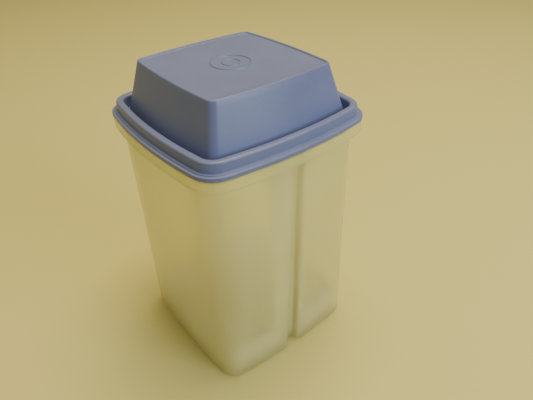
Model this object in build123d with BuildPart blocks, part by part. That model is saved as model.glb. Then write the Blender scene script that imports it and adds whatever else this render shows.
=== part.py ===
from build123d import *
import os

# Pickle keeper: a tall frosted container, a strainer lifter inside it and a soft domed lid.
# Millimetres. The origin is the centre of the base, +Z is up, the grooved faces are +X and -X.

# Container body: a bowed square that widens slowly from the base to the shelf under the lid
body_draft = 4.0
base_bow = 3.4
base_corner = 11.5
shelf_half = 63.6
shelf_bow = 6.0
shelf_corner = 29.0
shelf_z = 176.2
wall = 2.2
floor_thickness = 2.6
base_edge_round = 3.4
foot_rim_width = 5.0
foot_recess = 0.8

# Vertical groove in each X face, which stands inside the container as a guide rib
groove_width = 7.6
groove_depth_base = 6.2
groove_depth_top = 4.4
groove_shoulder_base = 4.2
groove_shoulder_top = 3.0
groove_floor_round = 1.2
least_shoulder = 0.4

# Rim that the lid closes over, and the collar that hangs from the shelf round it
rim_step = 2.5
rim_wall = 1.6
rim_height = 8.0
rim_bow = 5.0
rim_corner = 11.4
rim_edge_round = 0.6
collar_overhang = 5.1
collar_wall = 1.8
collar_drop = 7.7
collar_edge_round = 0.8
shelf_thickness = 2.0

# Lid
lid_wall = 1.5
seat_gap = 0.3
seal_clearance = 0.3
bead_round = 2.4
lip_overhang = 5.4
lip_thickness = 2.6
lip_step_overhang = 3.5
lip_step_height = 0.6
lip_edge_round = 0.5
moat_gap = 1.6
dome_draft = 10.7
dome_foot_bow = 3.6
dome_foot_corner = 11.0
dome_top_bow = 1.9
dome_top_corner = 7.0
dome_height = 34.7
dome_wall = 1.6
top_bead_width = 1.6
top_bead_height = 0.8
roundel_radii = (13.0, 5.9)
roundel_line = 0.9
roundel_height = 0.5

# Lifter: a perforated tray with two arms that ride the ribs and end in finger loops
tray_clearance = 2.2
tray_corner_extra = 2.0
tray_wall = 2.0
tray_wall_height = 15.0
tray_floor = 2.0
rib_clearance = 1.0
channel_shoulder = 0.8
foot_radius = 4.0
foot_height = 4.0
foot_inset = 16.0
hole_radius = 2.8
hole_pitch = 12.5
hole_rows = 7
arm_half_width = 14.0
arm_top_gap = 8.2
plate_overlap = 14.0
handle_top_gap = 5.8
handle_gap = 5.0
handle_corner = 7.0
loop_width = 20.0
loop_height = 14.0
loop_end_flat = 1.0
loop_top_bar = 5.0

# Heights that follow from the sizes above
rim_top = shelf_z + rim_height
lid_bottom = shelf_z + seat_gap
slot_top = rim_top + seat_gap
bead_top = slot_top + lid_wall
dome_top = lid_bottom + dome_height
tray_bottom = floor_thickness + seat_gap + foot_height
tray_top = tray_bottom + tray_floor + tray_wall_height
arm_top = shelf_z - arm_top_gap
handle_top = dome_top - dome_wall - handle_top_gap

# Half widths, each worked out from the shelf's
base_half = shelf_half - body_draft
rim_half = shelf_half - rim_step

# How far each face of the lid's seal lies outside the rim's outer face
lid_wall_outset = seal_clearance + lid_wall
plug_outset = -rim_wall - seal_clearance
bead_inner_outset = plug_outset - lid_wall
dome_foot_half = rim_half + bead_inner_outset - moat_gap
dome_top_half = dome_foot_half - dome_draft

# How close a point must lie to count as being at a place
near = 0.01


def arc_depth(half, bow, across):
    """Distance of a bowed side from the centre at the place `across` along it."""
    chord = half - bow
    radius = (chord * chord + bow * bow) / (2 * bow)
    return half - radius + (radius * radius - across * across) ** 0.5


def bowed_square(half, bow, corner):
    """Square whose sides bow outward, with rounded corners."""
    tip = half - bow
    with BuildSketch() as outline:
        with BuildLine():
            for side in range(4):
                start = Vector(tip, -tip).rotate(Axis.Z, 90 * side)
                middle = Vector(half, 0).rotate(Axis.Z, 90 * side)
                end = Vector(tip, tip).rotate(Axis.Z, 90 * side)
                ThreePointArc(start, middle, end)
        make_face()
        fillet(outline.vertices(), corner)
    return outline.sketch


def grooved_square(half, bow, corner, width, depth, shoulder, floor_round):
    """Bowed square with a rounded groove in the middle of its +X and -X sides."""
    tip = half - bow
    edge = width / 2
    quarter = (tip + edge) / 2
    with BuildSketch() as outline:
        with BuildLine():
            for sign in (1, -1):
                lip = sign * arc_depth(half, bow, edge)
                bend = sign * arc_depth(half, bow, quarter)
                ThreePointArc((sign * tip, -tip), (bend, -quarter), (lip, -edge))
                Polyline((lip, -edge), (sign * (half - depth), -edge), (sign * (half - depth), edge), (lip, edge))
                ThreePointArc((lip, edge), (bend, quarter), (sign * tip, tip))
                ThreePointArc((-tip, sign * tip), (0, sign * half), (tip, sign * tip))
        make_face()
        fillet(outline.vertices().filter_by(lambda v: abs(v.Y) > tip - near), corner)
        middle = outline.vertices().filter_by(lambda v: abs(v.Y) < edge + near)
        fillet(middle.filter_by(lambda v: abs(v.X) > half - depth + near), shoulder)
        middle = outline.vertices().filter_by(lambda v: abs(abs(v.Y) - edge) < near)
        fillet(middle.filter_by(lambda v: abs(abs(v.X) - half + depth) < near), floor_round)
    return outline.sketch


def body_outline(share, inset):
    """Body section at a share of the way up to the shelf, set in from the outer face."""
    half = base_half + (shelf_half - base_half) * share
    bow = base_bow + (shelf_bow - base_bow) * share
    corner = base_corner + (shelf_corner - base_corner) * share
    depth = groove_depth_base + (groove_depth_top - groove_depth_base) * share
    shoulder = groove_shoulder_base + (groove_shoulder_top - groove_shoulder_base) * share
    return grooved_square(
        half - inset,
        bow,
        corner - inset,
        groove_width + 2 * inset,
        depth,
        max(shoulder - inset, least_shoulder),
        groove_floor_round + inset,
    )


def rim_outline(outset):
    """Outline of the rim's outer face, grown or shrunk by an even amount."""
    chord = rim_half - rim_bow
    radius = (chord * chord + rim_bow * rim_bow) / (2 * rim_bow)
    centre = rim_half - radius
    tip = (centre + (2 * (radius + outset) ** 2 - centre * centre) ** 0.5) / 2
    return bowed_square(rim_half + outset, rim_half + outset - tip, rim_corner + outset)


def dome_outline(share, inset):
    """Dome section at a share of its height, set in from the outer face."""
    half = dome_foot_half + (dome_top_half - dome_foot_half) * share
    bow = dome_foot_bow + (dome_top_bow - dome_foot_bow) * share
    corner = dome_foot_corner + (dome_top_corner - dome_foot_corner) * share
    return bowed_square(half - inset, bow, corner - inset)


# Container
with BuildPart() as container:
    with BuildSketch(Plane.XY):
        add(body_outline(0, 0))
    with BuildSketch(Plane.XY.offset(shelf_z)):
        add(body_outline(1, 0))
    loft()
    fillet(container.faces().sort_by(Axis.Z)[0].edges(), base_edge_round)

    # Shelf, with the collar hanging from its edge
    with BuildSketch(Plane.XY.offset(shelf_z - shelf_thickness)):
        add(rim_outline(collar_overhang))
    extrude(amount=shelf_thickness)
    with BuildSketch(Plane.XY.offset(shelf_z - collar_drop)):
        add(rim_outline(collar_overhang))
        add(rim_outline(collar_overhang - collar_wall), mode=Mode.SUBTRACT)
    extrude(amount=collar_drop)
    collar_edges = container.edges().filter_by_position(Axis.Z, shelf_z - near, shelf_z + near)
    fillet(collar_edges, collar_edge_round)

    # Rim
    with BuildSketch(Plane.XY.offset(shelf_z)):
        add(rim_outline(0))
        add(rim_outline(-rim_wall), mode=Mode.SUBTRACT)
    extrude(amount=rim_height)
    rim_edges = container.edges().filter_by_position(Axis.Z, rim_top - near, rim_top + near)
    fillet(rim_edges, rim_edge_round)

    # Inside, down to the floor
    with BuildSketch(Plane.XY.offset(floor_thickness)):
        add(body_outline(floor_thickness / shelf_z, wall))
    with BuildSketch(Plane.XY.offset(shelf_z - shelf_thickness)):
        add(body_outline(1 - shelf_thickness / shelf_z, wall))
    loft(mode=Mode.SUBTRACT)

    # Opening in the shelf: within the rim, and at the corners and ribs within the walls below
    with BuildSketch(Plane.XY.offset(shelf_z - shelf_thickness)):
        add(rim_outline(-rim_wall))
        add(body_outline(1 - shelf_thickness / shelf_z, wall), mode=Mode.INTERSECT)
    extrude(amount=shelf_thickness, mode=Mode.SUBTRACT)

    # Shallow recess underneath, which leaves a rim to stand on
    recess_half = base_half - groove_depth_base - foot_rim_width
    with BuildSketch(Plane.XY):
        add(bowed_square(recess_half, base_bow, base_corner))
    extrude(amount=foot_recess, mode=Mode.SUBTRACT)
container.part.label = "container"


# Lid
with BuildPart() as lid:
    # Dome
    with BuildSketch(Plane.XY.offset(lid_bottom)):
        add(dome_outline(0, 0))
    with BuildSketch(Plane.XY.offset(dome_top)):
        add(dome_outline(1, 0))
    loft()

    # Floor of the moat, then the wall and rounded bead that close over the rim
    with BuildSketch(Plane.XY.offset(lid_bottom)):
        add(rim_outline(plug_outset))
    extrude(amount=lid_wall)
    with BuildSketch(Plane.XY.offset(lid_bottom)):
        add(rim_outline(lid_wall_outset))
        add(rim_outline(bead_inner_outset), mode=Mode.SUBTRACT)
    extrude(amount=bead_top - lid_bottom)
    bead_edges = lid.edges().filter_by_position(Axis.Z, bead_top - near, bead_top + near)
    fillet(bead_edges, bead_round)

    # Lip, with a low step round its top
    with BuildSketch(Plane.XY.offset(lid_bottom)):
        add(rim_outline(lip_overhang))
        add(rim_outline(lid_wall_outset), mode=Mode.SUBTRACT)
    extrude(amount=lip_thickness)
    lip_top = lid_bottom + lip_thickness
    lip_edges = lid.edges().filter_by_position(Axis.Z, lip_top - near, lip_top + near)
    fillet(lip_edges.group_by(SortBy.LENGTH)[-1], lip_edge_round)
    with BuildSketch(Plane.XY.offset(lid_bottom)):
        add(rim_outline(lip_step_overhang))
        add(rim_outline(lid_wall_outset), mode=Mode.SUBTRACT)
    extrude(amount=lip_thickness + lip_step_height)

    # Slot for the container's rim
    with BuildSketch(Plane.XY.offset(lid_bottom)):
        add(rim_outline(seal_clearance))
        add(rim_outline(plug_outset), mode=Mode.SUBTRACT)
    extrude(amount=slot_top - lid_bottom, mode=Mode.SUBTRACT)

    # Inside of the dome
    with BuildSketch(Plane.XY.offset(lid_bottom)):
        add(dome_outline(0, dome_wall))
    with BuildSketch(Plane.XY.offset(dome_top - dome_wall)):
        add(dome_outline(1 - dome_wall / dome_height, dome_wall))
    loft(mode=Mode.SUBTRACT)

    # Thin bead round the flat top, and two plain rings at its centre
    with BuildSketch(Plane.XY.offset(dome_top)):
        add(dome_outline(1, 0))
        add(dome_outline(1, top_bead_width), mode=Mode.SUBTRACT)
    extrude(amount=top_bead_height)
    with BuildSketch(Plane.XY.offset(dome_top)):
        for radius in roundel_radii:
            Circle(radius)
            Circle(radius - roundel_line, mode=Mode.SUBTRACT)
    extrude(amount=roundel_height)
lid.part.label = "lid"


# Lifter
lifter_half = base_half - wall - tray_clearance
lifter_corner = base_corner - wall - tray_clearance + tray_corner_extra
channel_width = groove_width + 2 * (wall + rib_clearance)
rib_face = base_half - wall - groove_depth_base
channel_depth = lifter_half - rib_face + rib_clearance


def lifter_outline(inset):
    """Tray section, notched to pass the two ribs, set in from the outer face."""
    return grooved_square(
        lifter_half - inset,
        base_bow,
        lifter_corner - inset,
        channel_width + 2 * inset,
        channel_depth,
        channel_shoulder,
        groove_floor_round,
    )


with BuildPart() as lifter_tray:
    # Floor and low wall
    with BuildSketch(Plane.XY.offset(tray_bottom)):
        add(lifter_outline(0))
    extrude(amount=tray_floor)
    with BuildSketch(Plane.XY.offset(tray_bottom)):
        add(lifter_outline(0))
        add(lifter_outline(tray_wall), mode=Mode.SUBTRACT)
    extrude(amount=tray_top - tray_bottom)

    # Drain holes and the feet under the floor
    with BuildSketch(Plane.XY.offset(tray_bottom)):
        with GridLocations(hole_pitch, hole_pitch, hole_rows, hole_rows):
            Circle(hole_radius)
    extrude(amount=tray_floor, mode=Mode.SUBTRACT)
    foot_place = lifter_half - foot_inset
    with BuildSketch(Plane.XY.offset(tray_bottom - foot_height)):
        with GridLocations(2 * foot_place, 2 * foot_place, 2, 2):
            Circle(foot_radius)
    extrude(amount=foot_height)
lifter_tray.part.label = "lifter_tray"


with BuildPart() as lifter_arm_right:
    # Channel that rides the rib: the tray's wall round it, carried up
    with BuildSketch(Plane.XY.offset(tray_top)):
        add(lifter_outline(0))
        add(lifter_outline(tray_wall), mode=Mode.SUBTRACT)
        arm_width = 2 * arm_half_width
        Rectangle(2 * lifter_half, arm_width, align=(Align.MIN, Align.CENTER), mode=Mode.INTERSECT)
    extrude(amount=arm_top - tray_top)

    # Handle: a plate on the channel's inner face, which then leans inward to fit the dome
    arm_face = lifter_half - channel_depth
    handle_share = (handle_top - lid_bottom) / dome_height
    handle_face = dome_foot_half - dome_draft * handle_share - dome_wall - handle_gap
    plate = [
        (arm_face, arm_top - plate_overlap),
        (arm_face, arm_top),
        (handle_face, handle_top),
        (handle_face - tray_wall, handle_top),
        (arm_face - tray_wall, arm_top),
        (arm_face - tray_wall, arm_top - plate_overlap),
    ]
    with BuildSketch(Plane.XZ):
        Polygon(*plate, align=None)
    extrude(amount=arm_half_width, both=True)

    # Finger loop through the handle, and its rounded top corners
    loop_middle = handle_top - loop_top_bar - loop_height / 2
    with BuildSketch(Plane.YZ):
        with Locations((0, loop_middle)):
            RectangleRounded(loop_width, loop_height, (loop_height - loop_end_flat) / 2)
    extrude(amount=lifter_half, mode=Mode.SUBTRACT)
    across = lifter_arm_right.edges().filter_by(Axis.X)
    fillet(across.filter_by_position(Axis.Z, handle_top - near, handle_top + near), handle_corner)
lifter_arm_right.part.label = "lifter_arm_right"


with BuildPart() as lifter_arm_left:
    mirror(lifter_arm_right.part, about=Plane.YZ)
lifter_arm_left.part.label = "lifter_arm_left"


os.makedirs("parts", exist_ok=True)
export_step(container.part, "parts/container.step")
export_step(lid.part, "parts/lid.step")
export_step(lifter_tray.part, "parts/lifter_tray.step")
export_step(lifter_arm_right.part, "parts/lifter_arm_right.step")
export_step(lifter_arm_left.part, "parts/lifter_arm_left.step")
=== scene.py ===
# %% [markdown]
# # A pickle keeper in Blender
#
# The object is three plastic mouldings: a tall frosted container, a soft blue lid with a high
# dome, and a strainer lifter that stands inside and is pulled up by two finger loops. The CAD
# model gives their real sizes and how they move. This script models the container and the lid
# again as smooth skins with rounded edges, rounds the edges of the lifter's pieces, gives each
# plastic its finish, and lights the keeper softly on a pale floor.

# %% Load the frame
import math

import bpy
from mathutils import Matrix, Vector


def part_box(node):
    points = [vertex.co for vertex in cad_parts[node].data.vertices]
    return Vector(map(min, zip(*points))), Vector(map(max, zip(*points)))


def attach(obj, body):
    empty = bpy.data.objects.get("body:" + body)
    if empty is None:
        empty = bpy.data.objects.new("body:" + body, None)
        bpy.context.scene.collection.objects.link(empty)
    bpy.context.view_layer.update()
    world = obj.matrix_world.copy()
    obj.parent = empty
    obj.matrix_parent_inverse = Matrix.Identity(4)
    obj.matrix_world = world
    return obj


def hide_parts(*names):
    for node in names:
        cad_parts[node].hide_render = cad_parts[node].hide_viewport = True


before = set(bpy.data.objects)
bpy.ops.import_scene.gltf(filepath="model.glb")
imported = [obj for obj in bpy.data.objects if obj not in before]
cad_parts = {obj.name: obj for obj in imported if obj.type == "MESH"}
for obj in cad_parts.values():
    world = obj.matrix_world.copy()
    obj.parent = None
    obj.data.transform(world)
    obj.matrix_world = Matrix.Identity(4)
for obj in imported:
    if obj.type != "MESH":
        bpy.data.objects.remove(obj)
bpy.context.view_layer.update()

container_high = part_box("container")[1]
lid_low, lid_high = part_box("lid")

# %% [markdown]
# ## Sizes
#
# Everything is in metres, and MM stands for one millimetre. The heights come from the frame. The
# sizes that the CAD boxes cannot tell, such as a wall's thickness, are named once, and those that
# both mouldings share come first.

# %% Sizes shared by the pieces
MM = 0.001
clearance = 0.3 * MM
bead_above_rim = 1.8 * MM
shelf_z = lid_low.z - clearance
rim_top = container_high.z
bead_top = rim_top + bead_above_rim
lid_top = lid_high.z
rim_half = 61.1 * MM
rim_bow = 5.0 * MM
rim_corner = 11.4 * MM
rim_wall = 1.6 * MM
print("shelf", shelf_z, "rim top", rim_top, "lid top", lid_top)


# %% [markdown]
# ## Outlines
#
# Every level of the container and the lid is the same kind of shape: a square whose sides bow
# outward a little and whose corners are round. A real designer would draw it from four large
# arcs and four small ones. Here a function works out the same outline, always with the same
# number of points, so that one level can be joined to the next.

# %% Points along a bowed, rounded square
CORNER_STEPS = 8
SIDE_STEPS = 14


def side_arc(half, bow):
    """Centre distance and radius of the large arc that makes one side."""
    chord = half - bow
    radius = (chord * chord + bow * bow) / (2 * bow)
    return half - radius, radius


def arc_points(centre, radius, start, end, steps):
    """Points on an arc from one angle to another, the last one left out."""
    return [
        (
            centre[0] + radius * math.cos(start + (end - start) * i / steps),
            centre[1] + radius * math.sin(start + (end - start) * i / steps),
        )
        for i in range(steps)
    ]


def corner_circle(half, bow, corner):
    """Centre (on the diagonal) of the small arc tangent to two neighbouring sides."""
    centre, radius = side_arc(half, bow)
    reach = radius - corner
    return (centre + math.sqrt(2 * reach * reach - centre * centre)) / 2


def quarter_outline(half, bow, corner):
    """One quarter of the outline: the +X side, then the corner towards +Y."""
    centre, radius = side_arc(half, bow)
    place = corner_circle(half, bow, corner)
    swing = math.atan2(place, place - centre)
    side = arc_points((centre, 0), radius, -swing, swing, SIDE_STEPS)
    bend = arc_points((place, place), corner, swing, math.pi / 2 - swing, CORNER_STEPS)
    return side + bend


def turned(points, quarters):
    """Points turned about the vertical axis by whole quarters."""
    for _ in range(quarters):
        points = [(-y, x) for x, y in points]
    return points


def outline(half, bow, corner):
    """The whole outline, anticlockwise from the start of the +X side."""
    quarter = quarter_outline(half, bow, corner)
    return [p for q in range(4) for p in turned(quarter, q)]


def rim_shape(outset):
    """Half width, bow and corner radius of the rim, grown or shrunk by an even amount."""
    centre, radius = side_arc(rim_half, rim_bow)
    grown = radius + outset
    tip = (centre + math.sqrt(2 * grown * grown - centre * centre)) / 2
    half = rim_half + outset
    return half, half - tip, rim_corner + outset


outline_count = len(outline(*rim_shape(0)))
print("points round an outline:", outline_count)


# %% Small helpers for points and sizes
def shrunk(points, share):
    """Flat points drawn in towards the middle."""
    return [(x * share, y * share) for x, y in points]


def lift(points, z):
    """Flat points at a height."""
    return [Vector((x, y, z)) for x, y in points]


def part_way(first, second, share):
    """Sizes part of the way from one set to another."""
    return [a + (b - a) * share for a, b in zip(first, second)]


# %% [markdown]
# ## From outlines to a skin
#
# A moulding is a skin with no gaps: outside, over its edge, and back inside. By hand it would be
# made from one circle, extruded edge by edge and reshaped at every step. The helper below does
# that: each level is extruded from the last, then its points are moved to the new outline. Corners
# of the section are rounded first, so that light catches them as it does on moulded plastic.

# %% Round the corners of a section
SECTION_STEPS = 5


def rounded_section(corners, steps=SECTION_STEPS):
    """Section points from (outset, height, rounding) corners, each inner corner made an arc."""
    points = []
    for i, (x, z, radius) in enumerate(corners):
        here = Vector((x, z))
        if radius == 0 or i in (0, len(corners) - 1):
            points.append((x, z))
            continue
        back = (Vector(corners[i - 1][:2]) - here).normalized()
        ahead = (Vector(corners[i + 1][:2]) - here).normalized()
        half_turn = back.angle(ahead) / 2
        reach = radius / math.tan(half_turn)
        middle = here + (back + ahead).normalized() * radius / math.sin(half_turn)
        first = here + back * reach - middle
        last = here + ahead * reach - middle
        sweep = first.angle_signed(last)
        for k in range(steps + 1):
            turn = -sweep * k / steps
            c, s = math.cos(turn), math.sin(turn)
            points.append((middle.x + c * first.x - s * first.y, middle.y + s * first.x + c * first.y))
    return points


# %% Extrude a skin through a list of levels
import bmesh
from mathutils.kdtree import KDTree

start_radius = 50 * MM


def place_selected(piece, before, after):
    """Moves each selected point, found by where it is now, to its new place."""
    mesh = bmesh.from_edit_mesh(piece.data)
    finder = KDTree(len(before))
    for i, place in enumerate(before):
        finder.insert(place, i)
    finder.balance()
    for vertex in mesh.verts:
        if vertex.select:
            vertex.co = after[finder.find(vertex.co)[1]]
    bmesh.update_edit_mesh(piece.data)


def skin(name, levels, smooth_angle):
    """A closed skin through the levels, with its first and last level filled."""
    count = len(levels[0])
    bpy.ops.object.select_all(action="DESELECT")
    bpy.ops.mesh.primitive_circle_add(vertices=count, radius=start_radius, fill_type="NOTHING")
    piece = bpy.context.object
    piece.name = name
    bpy.ops.object.mode_set(mode="EDIT")
    mesh = bmesh.from_edit_mesh(piece.data)
    for vertex, place in zip(mesh.verts, levels[0]):
        vertex.co = place
    bmesh.update_edit_mesh(piece.data)
    bpy.ops.mesh.select_all(action="SELECT")
    bpy.ops.mesh.edge_face_add()
    for before, after in zip(levels, levels[1:]):
        bpy.ops.mesh.extrude_region_move()
        place_selected(piece, before, after)
    bpy.ops.mesh.select_all(action="SELECT")
    bpy.ops.mesh.normals_make_consistent(inside=False)
    bpy.ops.object.mode_set(mode="OBJECT")
    bpy.ops.object.shade_smooth_by_angle(angle=math.radians(smooth_angle))
    print(name, "points", len(piece.data.vertices), "faces", len(piece.data.polygons))
    return piece


# %% [markdown]
# ## The lid
#
# On the real lid one thin wall runs down the dome, turns up out of a narrow moat, rolls over the
# container's rim as a round bead, and ends in a flat lip with a low step. Two plain rings stand in
# the middle of the top, where the plastic was fed into the mould, and a thin bead runs round the
# edge. Its section is drawn once as a list of corners, and the outline of each level is bowed more
# at the foot of the dome than at its top.

# %% Sizes of the lid
lid_wall = 1.6 * MM
seal_wall = 1.5 * MM
top_bead_height = 0.8 * MM
top_half = 45.0 * MM
top_sag = 0.35 * MM
lip_thickness = 2.6 * MM
lip_step_height = 0.6 * MM
lip_outer = 5.4 * MM

# Half width, bow and corner radius of the dome, at its foot and at its top.
dome_foot = (56.1 * MM, 4.6 * MM, 6.5 * MM)
dome_head = (45.4 * MM, 2.3 * MM, 5.0 * MM)
dome_foot_z = lid_low.z
dome_head_z = lid_top - top_bead_height

# Inner radius, outer radius and height of each ring on the top, and how wide their sides slope.
moulded_rings = ((5.1 * MM, 5.9 * MM, 0.45 * MM), (12.1 * MM, 13.0 * MM, 0.5 * MM))
ring_slope = 0.2 * MM
ring_foot_round = 0.12 * MM
ring_crown_round = 0.2 * MM
rings_start = 0.4 * MM
rings_end = 17.0 * MM

# The moat, the lip and the slot that the container's rim stands in. Outsets are from the rim.
moat_floor = lid_low.z + seal_wall
lip_top = lid_low.z + lip_thickness
step_top = lip_top + lip_step_height
slot_roof = bead_top - seal_wall
slot_inner = -rim_wall - clearance
seal_inner = slot_inner - seal_wall
print("dome from", dome_foot_z, "to", dome_head_z, "slot roof", slot_roof)

# %% Sections of the lid, as (outset, height, rounding) corners
dome_section = [
    (-3.2 * MM, dome_head_z - 0.02 * MM, 0),
    (-2.1 * MM, dome_head_z, 0.5 * MM),
    (-1.3 * MM, lid_top, 0.45 * MM),
    (0, lid_top, 0.6 * MM),
    (0, dome_head_z - 3 * MM, 0),
    (0, (dome_head_z + moat_floor) / 2, 0),
    (0, moat_floor, 0),
]
seal_section = [
    (seal_inner, moat_floor, 0),
    (seal_inner, bead_top, 1.7 * MM),
    (1.5 * MM, bead_top, 1.3 * MM),
    (1.9 * MM, step_top, 0.35 * MM),
    (3.5 * MM, step_top, 0.25 * MM),
    (3.6 * MM, lip_top, 0.2 * MM),
    (lip_outer, lip_top, 0.45 * MM),
    (lip_outer, lid_low.z, 0.35 * MM),
    (clearance, lid_low.z, 0.3 * MM),
    (clearance, slot_roof, 0.5 * MM),
    (slot_inner, slot_roof, 0.5 * MM),
    (slot_inner, lid_low.z, 0),
]
inside_section = [
    (-lid_wall, dome_foot_z, 0),
    (-lid_wall, (dome_head_z + moat_floor) / 2, 0),
    (-lid_wall, dome_head_z - lid_wall, 1.2 * MM),
    (-8.0 * MM, dome_head_z - lid_wall, 0),
]


def centre_section():
    """Section of the middle of the top, as (radius, height, rounding) corners over both rings."""
    corners = [(rings_start, 0, 0)]
    for inner, outer, height in moulded_rings:
        corners.append((inner - ring_slope, 0, ring_foot_round))
        corners.append((inner, height, ring_crown_round))
        corners.append((outer, height, ring_crown_round))
        corners.append((outer + ring_slope, 0, ring_foot_round))
    return corners + [(rings_end, 0, 0)]


# %% Levels of the lid
RING_STEPS = 3

# How far out the plain levels of the top and of the dome's ceiling lie, as shares of the top.
TOP_SHARES = (0.45, 0.62, 0.78, 0.9)
CEILING_SHARES = (0.7, 0.4, 0.01)

# Half width, bow and corner of a sample outline. A circle starts at the angle of its first point.
SAMPLE_OUTLINE = (1.0, 0.04, 0.1)


def round_outline(radius):
    """A circle with its points in step with the bowed outlines."""
    first_x, first_y = outline(*SAMPLE_OUTLINE)[0]
    start = math.atan2(first_y, first_x)
    return arc_points((0, 0), radius, start, start + 2 * math.pi, outline_count)


def dome_outline(outset, z):
    """The dome's outline at a height, grown or shrunk by an even amount."""
    share = (z - dome_foot_z) / (dome_head_z - dome_foot_z)
    half, bow, corner = part_way(dome_foot, dome_head, share)
    return outline(half + outset, bow, corner + outset)


def sagging(points, z, share):
    """Flat points at a height, lowered the more the nearer they are to the middle of the top."""
    return lift(points, z - top_sag * (1 - share * share))


def lid_levels():
    """Every level of the lid, from the middle of its top, down and back up inside."""
    levels = []
    for radius, height in rounded_section(centre_section(), RING_STEPS):
        levels.append(sagging(round_outline(radius), dome_head_z + height, radius / top_half))
    top = dome_outline(0, dome_head_z)
    levels += [sagging(shrunk(top, share), dome_head_z, share) for share in TOP_SHARES]
    levels += [lift(dome_outline(t, z), z) for t, z in rounded_section(dome_section)]
    levels += [lift(outline(*rim_shape(t)), z) for t, z in rounded_section(seal_section)]
    levels += [lift(dome_outline(t, z), z) for t, z in rounded_section(inside_section)[:-1]]
    levels += [lift(shrunk(top, share), dome_head_z - lid_wall) for share in CEILING_SHARES]
    return levels


# %% Model the lid
lid = skin("lid_shell", lid_levels(), smooth_angle=40)
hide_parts("lid")
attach(lid, "lid")


# %% [markdown]
# ## The container
#
# The container is the same kind of skin: under the base, up the outside, over the collar and the
# rim, and down the inside to the floor. Its two X faces each have a groove that runs from the base
# to the shelf, and stands inside as a rib that guides the lifter. The groove is part of the
# outline: a soft shoulder, a straight side, and a rounded floor. Above the shelf the outline is
# plain, so there the same number of points is spread evenly along the side.

# %% Sizes of the container
# Half width, bow, corner radius, groove depth and groove shoulder, at the base and at the shelf.
body_foot = (59.6 * MM, 3.4 * MM, 11.5 * MM, 6.2 * MM, 4.2 * MM)
body_head = (63.6 * MM, 6.0 * MM, 29.0 * MM, 4.4 * MM, 3.0 * MM)
body_wall = 2.2 * MM
groove_width = 7.6 * MM
groove_floor_round = 1.2 * MM
least_shoulder = 0.4 * MM

# Width, depth, shoulder and floor rounding that only set how a plain side's points are spread.
plain_spread = (groove_width, 5.0 * MM, 3.0 * MM, 1.0 * MM)

# The base with its recess and foot rim, the floor inside, the shelf and the collar under the lid.
base_round = 3.4 * MM
foot_recess = 0.8 * MM
foot_rim_width = 5.0 * MM
recess_edge = 0.2 * MM
recess_half = body_foot[0] - body_foot[3] - foot_rim_width
floor_top = 2.6 * MM
floor_round = 2.0 * MM
shelf_thickness = 2.0 * MM
shelf_edge = 0.15 * MM
shelf_under = shelf_z - shelf_thickness
collar_drop = 7.7 * MM
collar_low = shelf_z - collar_drop
collar_inner = 3.3 * MM
collar_outer = 5.1 * MM
print("collar from", collar_low, "to", shelf_z, "recess half width", recess_half)

# %% Outline with a groove in each X face
SHOULDER_STEPS = 6
GROOVE_FLOOR_STEPS = 4


def groove_points(half, centre, radius, width, depth, shoulder, bottom_round):
    """The middle of a grooved side, and the angle on the side's arc where it starts."""
    edge = width / 2
    reach_y = edge + shoulder
    reach_x = centre + math.sqrt((radius - shoulder) ** 2 - reach_y * reach_y)
    start = math.atan2(reach_y, reach_x - centre)
    deep = half - depth
    lower = arc_points((reach_x, -reach_y), shoulder, -start, math.pi / 2, SHOULDER_STEPS)
    lower.append((reach_x, -edge))
    place = (deep + bottom_round, -edge + bottom_round)
    lower += arc_points(place, bottom_round, -math.pi / 2, -math.pi, GROOVE_FLOOR_STEPS)
    lower.append((deep, -edge + bottom_round))
    upper = [(x, -y) for x, y in reversed(lower)]
    return lower + upper, start


def x_side(half, bow, corner, groove):
    """The +X side, with its groove if it has one, up to where the corner starts."""
    centre, radius = side_arc(half, bow)
    place = corner_circle(half, bow, corner)
    swing = math.atan2(place, place - centre)
    middle, start = groove_points(half, centre, radius, *(groove or plain_spread))
    if not groove:
        last = len(middle) - 1
        angles = [start * (2 * i / last - 1) for i in range(last + 1)]
        middle = [(centre + radius * math.cos(a), radius * math.sin(a)) for a in angles]
    lower = arc_points((centre, 0), radius, -swing, -start, SIDE_STEPS)
    upper = [(x, -y) for x, y in reversed(lower)]
    return lower + middle + upper, place, swing


def grooved_outline(half, bow, corner, groove=None):
    """A bowed square with a groove, or as many points without one, in its X sides."""
    side, place, swing = x_side(half, bow, corner, groove)
    bend = arc_points((place, place), corner, swing, math.pi / 2 - swing, CORNER_STEPS)
    centre, radius = side_arc(half, bow)
    far = arc_points((0, centre), radius, math.pi / 2 - swing, math.pi / 2 + swing, 2 * SIDE_STEPS)
    near_bend = arc_points((-place, place), corner, math.pi / 2 + swing, math.pi - swing, CORNER_STEPS)
    half_way = side[:-1] + bend + far + near_bend
    return half_way + turned(half_way, 2)


def body_outline(inset, z):
    """The container's outline at a height, set in from its outer face."""
    half, bow, corner, depth, shoulder = part_way(body_foot, body_head, z / shelf_z)
    groove = (
        groove_width + 2 * inset,
        depth,
        max(shoulder - inset, least_shoulder),
        groove_floor_round + inset,
    )
    return grooved_outline(half - inset, bow, corner - inset, groove)


def plain_rim_outline(outset):
    """The rim's outline with as many points as the grooved body."""
    return grooved_outline(*rim_shape(outset))


print("points round the container:", len(body_outline(0, 0)), len(plain_rim_outline(0)))

# %% Levels of the container
BASE_STEPS = 8
WALL_ROWS = 24
FLOOR_STEPS = 4

# How far out the flat levels under the base and on the floor lie, as shares of the recess.
RECESS_SHARES = (0.01, 0.5, 0.985)
FLOOR_SHARES = (0.98, 0.5, 0.01)
RECESS_MOUTH = 1.005

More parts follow.
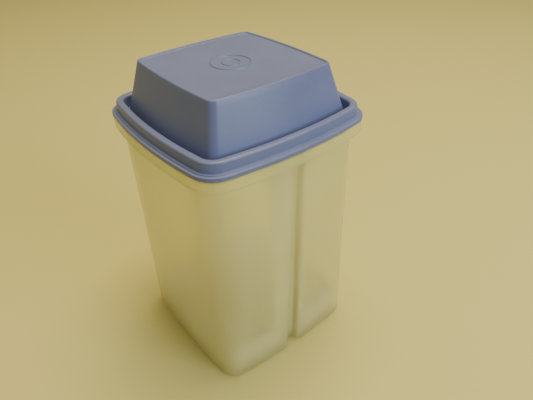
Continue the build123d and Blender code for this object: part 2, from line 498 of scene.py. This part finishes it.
# The collar and the rim, as (outset, height, rounding) corners.
collar_section = [
    (2.9 * MM, shelf_under, 0),
    (collar_inner, shelf_under, 0.3 * MM),
    (collar_inner, collar_low, 0.2 * MM),
    (collar_outer, collar_low, 0.2 * MM),
    (collar_outer, shelf_z, 0.8 * MM),
    (0, shelf_z, 0.5 * MM),
    (0, rim_top, 0.6 * MM),
    (-rim_wall, rim_top, 0.6 * MM),
    (-rim_wall, shelf_z, 0),
]


def flat_patch(share, z):
    """A shrunk plain outline, to close a flat face."""
    return lift(shrunk(grooved_outline(recess_half, body_foot[1], body_foot[2]), share), z)


def body_level(inset, z):
    """A level of the container's wall."""
    return lift(body_outline(inset, z), z)


def shelf_opening(z):
    """The opening in the shelf: the rim's inner outline or the wall's, whichever is further in."""
    pairs = zip(plain_rim_outline(-rim_wall), body_outline(body_wall, shelf_under))
    return lift([min(pair, key=lambda point: math.hypot(*point)) for pair in pairs], z)


def container_levels():
    """Every level of the container, from under its base to its floor inside."""
    levels = [flat_patch(share, foot_recess) for share in RECESS_SHARES]
    levels += [flat_patch(1, foot_recess - recess_edge), flat_patch(1, recess_edge)]
    levels.append(flat_patch(RECESS_MOUTH, 0))
    for step in range(BASE_STEPS + 1):
        angle = math.pi / 2 * step / BASE_STEPS
        levels.append(body_level(base_round * (1 - math.sin(angle)), base_round * (1 - math.cos(angle))))
    for row in range(1, WALL_ROWS + 1):
        levels.append(body_level(0, base_round + (shelf_under - base_round) * row / WALL_ROWS))
    levels += [lift(plain_rim_outline(t), z) for t, z in rounded_section(collar_section)]
    levels += [shelf_opening(shelf_z - shelf_edge), shelf_opening(shelf_under)]
    for row in range(WALL_ROWS + 1):
        z = shelf_under + (floor_top + floor_round - shelf_under) * row / WALL_ROWS
        levels.append(body_level(body_wall, z))
    for step in range(1, FLOOR_STEPS + 1):
        angle = math.pi / 2 * step / FLOOR_STEPS
        inset = body_wall + floor_round * (1 - math.cos(angle))
        levels.append(body_level(inset, floor_top + floor_round * (1 - math.sin(angle))))
    levels += [flat_patch(share, floor_top) for share in FLOOR_SHARES]
    return levels


# %% Model the container
container = skin("container_shell", container_levels(), smooth_angle=50)
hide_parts("container")
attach(container, "container")


# %% [markdown]
# ## The lifter
#
# The lifter's shape is all flat walls and round holes, and the CAD pieces already hold it. What they
# lack is the small rounding that every moulded edge has. So each one is copied, its loose triangles
# are merged into one surface, and a bevel modifier rounds every sharp edge.

# %% Round the edges of a copy
LIFTER_PIECES = ("lifter_tray", "lifter_arm_right", "lifter_arm_left")
lifter_edge_round = 0.45 * MM
merge_distance = 0.005 * MM
flat_angle = math.radians(0.5)
sharp_angle = math.radians(50)
smooth_below = math.radians(35)


def rounded_copy(node):
    """A copy of a CAD piece with its points merged and its sharp edges rounded."""
    bpy.ops.object.select_all(action="DESELECT")
    piece = bpy.data.objects.new(node + "_shell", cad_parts[node].data.copy())
    bpy.context.scene.collection.objects.link(piece)
    piece.select_set(True)
    bpy.context.view_layer.objects.active = piece
    bpy.ops.object.mode_set(mode="EDIT")
    bpy.ops.mesh.select_all(action="SELECT")
    bpy.ops.mesh.remove_doubles(threshold=merge_distance)
    bpy.ops.mesh.dissolve_limited(angle_limit=flat_angle)
    bpy.ops.object.mode_set(mode="OBJECT")
    bevel = piece.modifiers.new("moulded edges", "BEVEL")
    bevel.width = lifter_edge_round
    bevel.segments = 2
    bevel.limit_method = "ANGLE"
    bevel.angle_limit = sharp_angle
    bpy.ops.object.modifier_apply(modifier=bevel.name)
    bpy.ops.object.shade_smooth_by_angle(angle=smooth_below)
    print(piece.name, "faces", len(piece.data.polygons))
    return piece


lifter = {node: rounded_copy(node) for node in LIFTER_PIECES}
for node, piece in lifter.items():
    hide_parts(node)
    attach(piece, "lifter")


# %% [markdown]
# ## Shared effects
#
# Moulded plastic is never perfectly even. Three small node groups hold what all three finishes
# share: a slow variation of tone and gloss, fine scuffs from years of washing up, and the faint
# waviness and grain of the surface. They give out only masks and normals, and each material turns
# these into its own colours.

# %% Helpers for the groups
def new_group(name, inputs, outputs):
    """An empty shader group with named inputs (kind, name, value) and outputs (kind, name)."""
    group = bpy.data.node_groups.new(name, "ShaderNodeTree")
    for kind, label, value in inputs:
        socket = group.interface.new_socket(name=label, in_out="INPUT", socket_type=kind)
        socket.default_value = value
    for kind, label in outputs:
        group.interface.new_socket(name=label, in_out="OUTPUT", socket_type=kind)
    group_in = group.nodes.new("NodeGroupInput")
    group_out = group.nodes.new("NodeGroupOutput")
    return group, group_in, group_out


def noise(nodes, links, vector, scale, detail, roughness=0.5):
    """A noise texture read at a vector."""
    texture = nodes.new("ShaderNodeTexNoise")
    texture.inputs["Scale"].default_value = scale
    texture.inputs["Detail"].default_value = detail
    texture.inputs["Roughness"].default_value = roughness
    links.new(vector, texture.inputs["Vector"])
    return texture


def ranged(nodes, links, value, low, high, out_low=0.0, out_high=1.0):
    """A value mapped from one range to another, smoothly and clamped."""
    node = nodes.new("ShaderNodeMapRange")
    node.interpolation_type = "SMOOTHSTEP"
    for label, number in zip(("From Min", "From Max", "To Min", "To Max"), (low, high, out_low, out_high)):
        node.inputs[label].default_value = number
    links.new(value, node.inputs["Value"])
    return node.outputs["Result"]


def worked(nodes, links, operation, first, second):
    """Two values worked into one by a Math node."""
    node = nodes.new("ShaderNodeMath")
    node.operation = operation
    links.new(first, node.inputs[0])
    links.new(second, node.inputs[1])
    return node.outputs["Value"]


# %% Group: uneven tone
TONE_SCALE = 18.0


def make_uneven_tone():
    """A slow mask from 0 to 1 that follows Object coordinates."""
    group, group_in, group_out = new_group(
        "uneven_tone",
        [("NodeSocketVector", "Vector", (0, 0, 0)), ("NodeSocketFloat", "Scale", TONE_SCALE)],
        [("NodeSocketFloat", "Mask")],
    )
    nodes, links = group.nodes, group.links
    texture = noise(nodes, links, group_in.outputs["Vector"], TONE_SCALE, detail=4.0, roughness=0.55)
    links.new(group_in.outputs["Scale"], texture.inputs["Scale"])
    mask = ranged(nodes, links, texture.outputs["Fac"], low=0.3, high=0.7)
    links.new(mask, group_out.inputs["Mask"])
    return group


uneven_tone = make_uneven_tone()


# %% Group: scuffs
# The turn of each set of scratches about Z, and how much it is squeezed along each axis.
SCRATCH_SETS = ((0.5, (9, 260, 60)), (-0.8, (240, 12, 50)))
SCRATCH_TILT = (0.3, 0.2)


def make_scuffs():
    """Thin, broken scratches in two directions, as a mask."""
    group, group_in, group_out = new_group(
        "scuffs",
        [("NodeSocketVector", "Vector", (0, 0, 0)), ("NodeSocketFloat", "Amount", 0.5)],
        [("NodeSocketFloat", "Mask")],
    )
    nodes, links = group.nodes, group.links
    strokes = []
    for turn, squeeze in SCRATCH_SETS:
        mapping = nodes.new("ShaderNodeMapping")
        mapping.inputs["Rotation"].default_value = (*SCRATCH_TILT, turn)
        mapping.inputs["Scale"].default_value = squeeze
        links.new(group_in.outputs["Vector"], mapping.inputs["Vector"])
        texture = noise(nodes, links, mapping.outputs["Vector"], scale=6.0, detail=2.0, roughness=0.6)
        strokes.append(ranged(nodes, links, texture.outputs["Fac"], low=0.66, high=0.74))
    both = worked(nodes, links, "MAXIMUM", *strokes)
    patches = noise(nodes, links, group_in.outputs["Vector"], scale=30.0, detail=2.0)
    where = ranged(nodes, links, patches.outputs["Fac"], low=0.45, high=0.65)
    broken = worked(nodes, links, "MULTIPLY", both, where)
    level = worked(nodes, links, "MULTIPLY", broken, group_in.outputs["Amount"])
    links.new(level, group_out.inputs["Mask"])
    return group


scuffs = make_scuffs()


# %% Group: moulded surface
# The scale of the noise behind each height.
SURFACE_NOISES = ((14.0, "Wave Height"), (2600.0, "Grain Height"))
scuff_depth = 0.03 * MM


def make_moulded_surface():
    """A normal with slow waviness, a fine matt grain and shallow scuffs."""
    group, group_in, group_out = new_group(
        "moulded_surface",
        [
            ("NodeSocketVector", "Vector", (0, 0, 0)),
            ("NodeSocketFloat", "Wave Height", 0.4 * MM),
            ("NodeSocketFloat", "Grain Height", 0.01 * MM),
            ("NodeSocketFloat", "Scuff Mask", 0.0),
        ],
        [("NodeSocketVector", "Normal")],
    )
    nodes, links = group.nodes, group.links
    normal = None
    for scale, label in SURFACE_NOISES:
        texture = noise(nodes, links, group_in.outputs["Vector"], scale, detail=2.0)
        height = worked(nodes, links, "MULTIPLY", texture.outputs["Fac"], group_in.outputs[label])
        bump = nodes.new("ShaderNodeBump")
        bump.inputs["Distance"].default_value = 1.0
        links.new(height, bump.inputs["Height"])
        if normal:
            links.new(normal, bump.inputs["Normal"])
        normal = bump.outputs["Normal"]
    scratch = nodes.new("ShaderNodeBump")
    scratch.inputs["Distance"].default_value = scuff_depth
    scratch.invert = True
    links.new(group_in.outputs["Scuff Mask"], scratch.inputs["Height"])
    links.new(normal, scratch.inputs["Normal"])
    links.new(scratch.outputs["Normal"], group_out.inputs["Normal"])
    return group


moulded_surface = make_moulded_surface()


# %% [markdown]
# ## Finishes
#
# The lid is a soft, coloured plastic with a satin skin: light enters it a little, so its edges look
# slightly paler. The container is the same kind of plastic without pigment, frosted, so it glows
# where light falls through it. The warm tone it takes on from what is around comes partly from the
# warm lights and partly from a painted yellow tint in its colours. Transmission alone would leave
# its inside dark, so Alpha also lets some light straight through. The lifter is a stiffer, clearer
# grade of the same. All three share one recipe, with values of their own.

# %% A plastic finish
# A Mix node's colour sockets have the names of its other kinds too, so they are found by number.
MIX_FACTOR = 0
MIX_LOW = 6
MIX_HIGH = 7
MIX_RESULT = 2
SCUFF_DULLNESS = 0.25


def towards(nodes, links, mask, colour):
    """A mix towards a plain colour, by a mask, whose low colour is still to be given."""
    mix = nodes.new("ShaderNodeMix")
    mix.data_type = "RGBA"
    mix.inputs[MIX_HIGH].default_value = (*colour, 1)
    links.new(mask, mix.inputs[MIX_FACTOR])
    return mix


def placed(nodes, links, group, place):
    """A node group in a material, read at a place."""
    node = nodes.new("ShaderNodeGroup")
    node.node_tree = group
    links.new(place, node.inputs["Vector"])
    return node


def plastic(name, colours, scuff_colour, roughness, wave, grain, scuff_amount, plain):
    """A moulded plastic: two tones, pale scuffs, uneven gloss, and plain shader values."""
    paint = bpy.data.materials.new(name)
    paint.use_nodes = True
    nodes, links = paint.node_tree.nodes, paint.node_tree.links
    shader = nodes["Principled BSDF"]
    for label, value in plain.items():
        shader.inputs[label].default_value = value
    place = nodes.new("ShaderNodeTexCoord").outputs["Object"]
    tone = placed(nodes, links, uneven_tone, place)
    marks = placed(nodes, links, scuffs, place)
    marks.inputs["Amount"].default_value = scuff_amount
    base = towards(nodes, links, tone.outputs["Mask"], colours[1])
    base.inputs[MIX_LOW].default_value = (*colours[0], 1)
    worn = towards(nodes, links, marks.outputs["Mask"], scuff_colour)
    links.new(base.outputs[MIX_RESULT], worn.inputs[MIX_LOW])
    links.new(worn.outputs[MIX_RESULT], shader.inputs["Base Color"])
    gloss = ranged(nodes, links, tone.outputs["Mask"], 0, 1, *roughness)
    dull = nodes.new("ShaderNodeMath")
    dull.operation = "MULTIPLY_ADD"
    dull.inputs[1].default_value = SCUFF_DULLNESS
    links.new(marks.outputs["Mask"], dull.inputs[0])
    links.new(gloss, dull.inputs[2])
    links.new(dull.outputs["Value"], shader.inputs["Roughness"])
    surface = placed(nodes, links, moulded_surface, place)
    surface.inputs["Wave Height"].default_value = wave
    surface.inputs["Grain Height"].default_value = grain
    links.new(marks.outputs["Mask"], surface.inputs["Scuff Mask"])
    links.new(surface.outputs["Normal"], shader.inputs["Normal"])
    return paint


def wear(piece, paint):
    """Gives a piece one material."""
    piece.data.materials.clear()
    piece.data.materials.append(paint)


# %% Blue lid plastic
blue_plastic = plastic(
    "blue_plastic",
    colours=((0.114, 0.141, 0.322), (0.126, 0.155, 0.350)),
    scuff_colour=(0.28, 0.33, 0.46),
    roughness=(0.30, 0.42),
    wave=0.5 * MM,
    grain=0.006 * MM,
    scuff_amount=0.15,
    plain={
        "Subsurface Weight": 0.05,
        "Subsurface Radius": (0.3, 0.5, 1.0),
        "Subsurface Scale": 2 * MM,
        "IOR": 1.5,
    },
)
wear(lid, blue_plastic)

# %% Frosted container plastic
frosted_plastic = plastic(
    "frosted_plastic",
    # Painted tint: this yellow stands in for warm light and surroundings seen through unpigmented plastic.
    colours=((0.95, 0.91, 0.48), (0.98, 0.95, 0.55)),
    scuff_colour=(0.98, 0.97, 0.82),
    roughness=(0.36, 0.48),
    wave=0.6 * MM,
    grain=0.008 * MM,
    scuff_amount=0.4,
    plain={"Transmission Weight": 0.64, "IOR": 1.4, "Alpha": 0.52},
)
wear(container, frosted_plastic)

# %% Sheer lifter plastic
sheer_plastic = plastic(
    "sheer_plastic",
    colours=((0.80, 0.80, 0.74), (0.86, 0.86, 0.80)),
    scuff_colour=(0.92, 0.92, 0.88),
    roughness=(0.32, 0.42),
    wave=0.3 * MM,
    grain=0.005 * MM,
    scuff_amount=0.3,
    plain={"Transmission Weight": 0.35, "IOR": 1.5, "Alpha": 0.6},
)
for piece in lifter.values():
    wear(piece, sheer_plastic)


# %% [markdown]
# ## The floor, the lights and the camera
#
# The keeper stands on a plain pale floor. A large warm light overhead is the stronger one, and a
# smaller, cooler one shines in from the right, as from a window, so the right side of the lid looks
# bluer and the left side falls into shade. Both are large beside the keeper, so shadows stay soft.
# The camera looks down at the near corner, as in the photograph.

# %% Floor
FLOOR_SIZE = 4
bpy.ops.object.select_all(action="DESELECT")
bpy.ops.mesh.primitive_plane_add(size=FLOOR_SIZE, location=(0, 0, 0))
floor = bpy.context.object
floor.name = "floor"
floor_paint = bpy.data.materials.new("pale_floor")
floor_paint.use_nodes = True
floor_shader = floor_paint.node_tree.nodes["Principled BSDF"]
floor_shader.inputs["Base Color"].default_value = (0.56, 0.51, 0.20, 1)
floor_shader.inputs["Roughness"].default_value = 0.85
floor.data.materials.append(floor_paint)

# %% Soft lights
keeper_middle = Vector((0, 0, 0.1))


def soft_light(name, place, size, watts, colour):
    """A square area light that looks at the middle of the keeper."""
    data = bpy.data.lights.new(name, "AREA")
    data.size = size
    data.energy = watts
    data.color = colour
    light = bpy.data.objects.new(name, data)
    bpy.context.scene.collection.objects.link(light)
    light.location = place
    aim = keeper_middle - Vector(place)
    light.rotation_euler = aim.to_track_quat("-Z", "Y").to_euler()


soft_light("window", place=(1.15, 0.35, 0.65), size=0.7, watts=10.5, colour=(0.72, 0.87, 1.0))
soft_light("ceiling", place=(-0.05, 0.3, 1.6), size=0.9, watts=31, colour=(1.0, 0.83, 0.44))
world = bpy.data.worlds.new("studio")
bpy.context.scene.world = world
world.use_nodes = True
room_light = world.node_tree.nodes["Background"]
room_light.inputs["Color"].default_value = (1.0, 0.92, 0.60, 1)
room_light.inputs["Strength"].default_value = 0.40

# %% Camera
PICTURE_WIDTH = 533
focal_pixels = 484.7
camera_azimuth = math.radians(52.55)
camera_elevation = math.radians(35.6)
camera_roll = math.radians(-1.83)
camera_distance = 0.3555
aim_centre = Vector((0, 0, 0.11))
aim_right = 0.01888
aim_up = -0.00235

back = Vector((
    math.sin(camera_azimuth) * math.cos(camera_elevation),
    -math.cos(camera_azimuth) * math.cos(camera_elevation),
    math.sin(camera_elevation),
))
level_right = Vector((math.cos(camera_azimuth), math.sin(camera_azimuth), 0))
level_up = back.cross(level_right)
right = level_right * math.cos(camera_roll) + level_up * math.sin(camera_roll)
up = level_up * math.cos(camera_roll) - level_right * math.sin(camera_roll)
target = aim_centre + right * aim_right + up * aim_up
camera_data = bpy.data.cameras.new("photo_camera")
camera_data.sensor_width = 36
camera_data.lens = focal_pixels / PICTURE_WIDTH * camera_data.sensor_width
camera_data.clip_start = 0.01
camera = bpy.data.objects.new("photo_camera", camera_data)
bpy.context.scene.collection.objects.link(camera)
camera_turn = Matrix((right, up, back)).transposed().to_4x4()
camera.matrix_world = Matrix.Translation(target + back * camera_distance) @ camera_turn
bpy.context.scene.camera = camera
print("camera at", tuple(camera.location), "lens", camera_data.lens)
